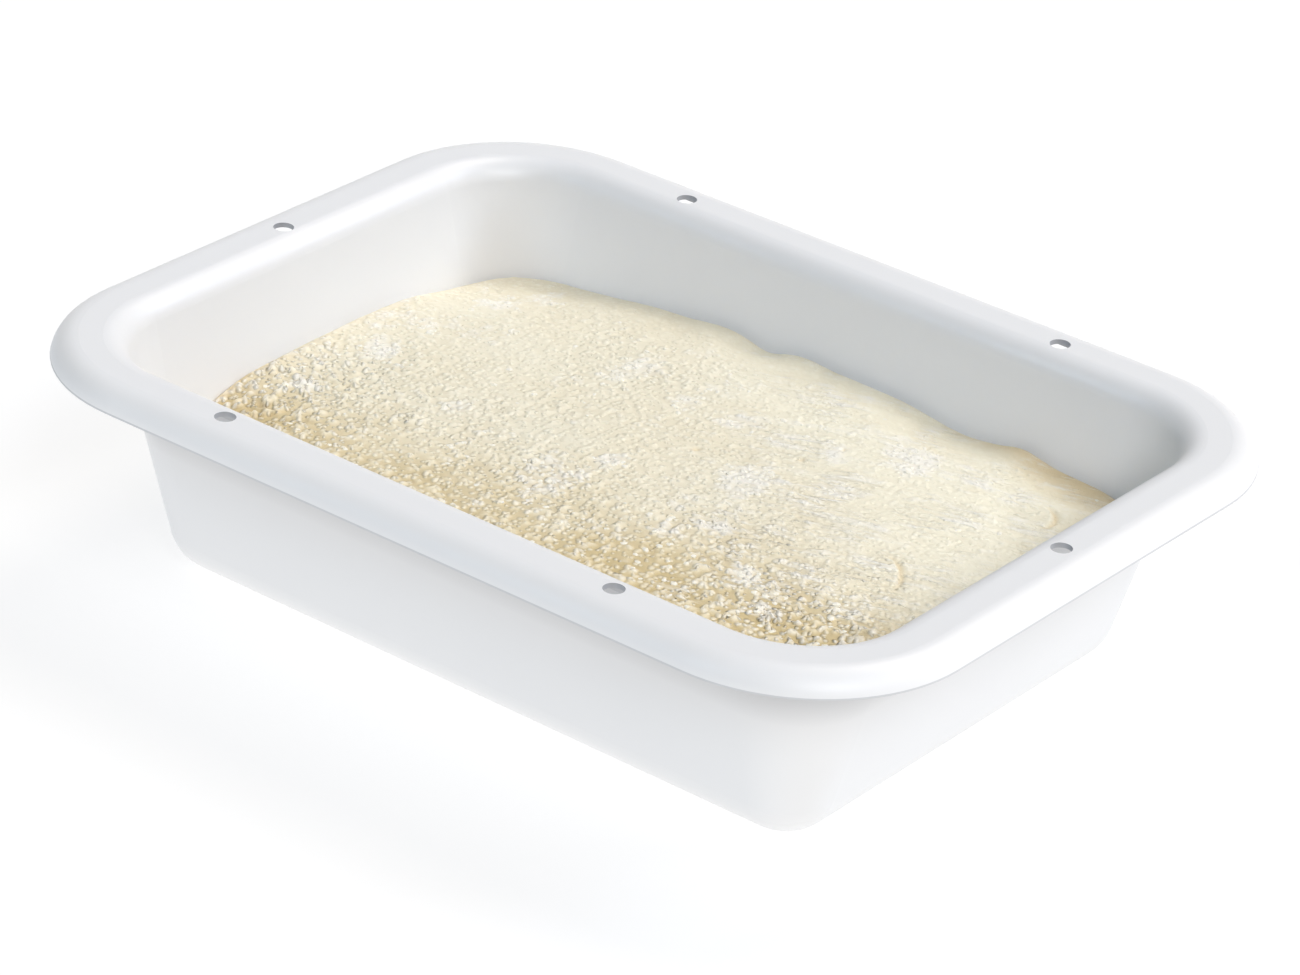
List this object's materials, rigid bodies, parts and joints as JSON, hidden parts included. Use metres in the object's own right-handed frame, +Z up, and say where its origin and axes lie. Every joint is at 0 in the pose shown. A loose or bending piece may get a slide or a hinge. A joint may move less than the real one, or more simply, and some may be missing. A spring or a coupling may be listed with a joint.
{
  "type": "dough tub",
  "caption": "Rectangular plastic dough tub with drafted walls and a wide rolled rim with fixing holes, holding a low domed batch of floured dough.",
  "frame": {"origin": "centre of the tub's base, on the surface that it stands on", "axes": "+X along the length, +Y along the width, +Z up out of the open top"},
  "size_m": [0.6, 0.455, 0.145],
  "materials": {
    "tub_plastic": "satin white moulded polyethylene",
    "dough": "matte cream dough dusted with flour"
  },
  "bodies": {
    "tub": {"tub": "tub_plastic"},
    "dough": {"dough": "dough"}
  },
  "joints": [
    {"name": "dough_lift", "type": "slide", "parent": "tub", "child": "dough", "axis": [0, 0, 1], "range_m": [0, 0.16]}
  ]
}
